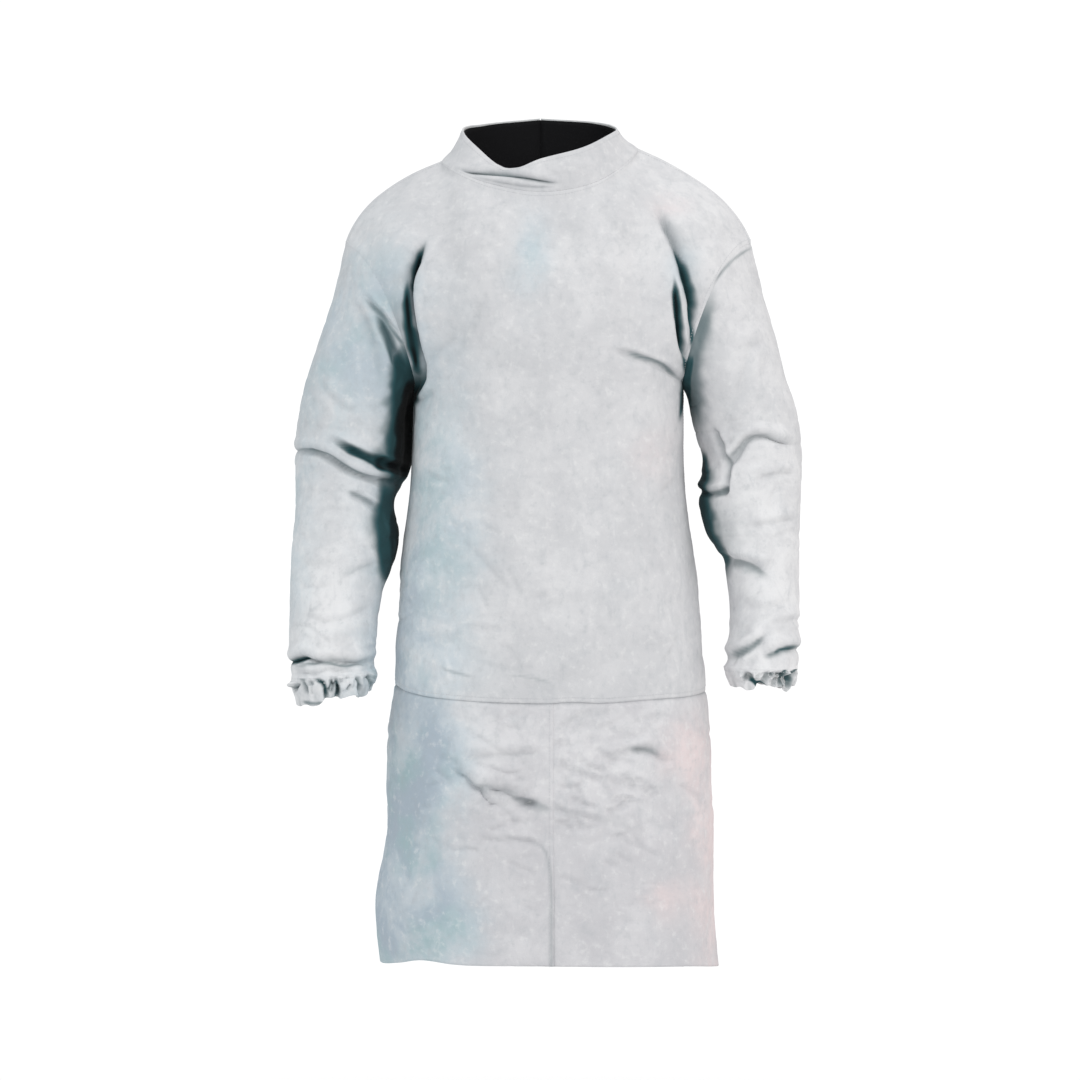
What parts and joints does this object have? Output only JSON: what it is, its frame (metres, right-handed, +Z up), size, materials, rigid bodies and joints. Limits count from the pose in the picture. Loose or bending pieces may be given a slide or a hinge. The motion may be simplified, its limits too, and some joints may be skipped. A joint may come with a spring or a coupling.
{
  "type": "split leather apron with sleeves",
  "caption": "Long-sleeved split leather work apron as worn: stand collar, lapped waist seam, two-piece skirt, gathered cuffs, open back closed by plain straps.",
  "frame": {"origin": "the middle of the neck opening, at the height where the collar sits on the shoulders", "axes": "+Z up, -Y to the front of the apron, +X to the right-hand side as seen from the front"},
  "size_m": [0.6001, 0.2521, 1.0112],
  "materials": {
    "split_leather": "matt napped suede, pale grey",
    "collar_lining": "matt black"
  },
  "bodies": {
    "root": {"front_panel": "split_leather", "back_panel_left": "split_leather", "back_panel_right": "split_leather", "skirt_left": "split_leather", "skirt_right": "split_leather", "sleeve_left": "split_leather", "sleeve_right": "split_leather", "cuff_left": "split_leather", "cuff_right": "split_leather", "collar": "split_leather", "collar_lining": "collar_lining", "nape_strap": "split_leather", "back_strap": "split_leather"}
  },
  "joints": []
}
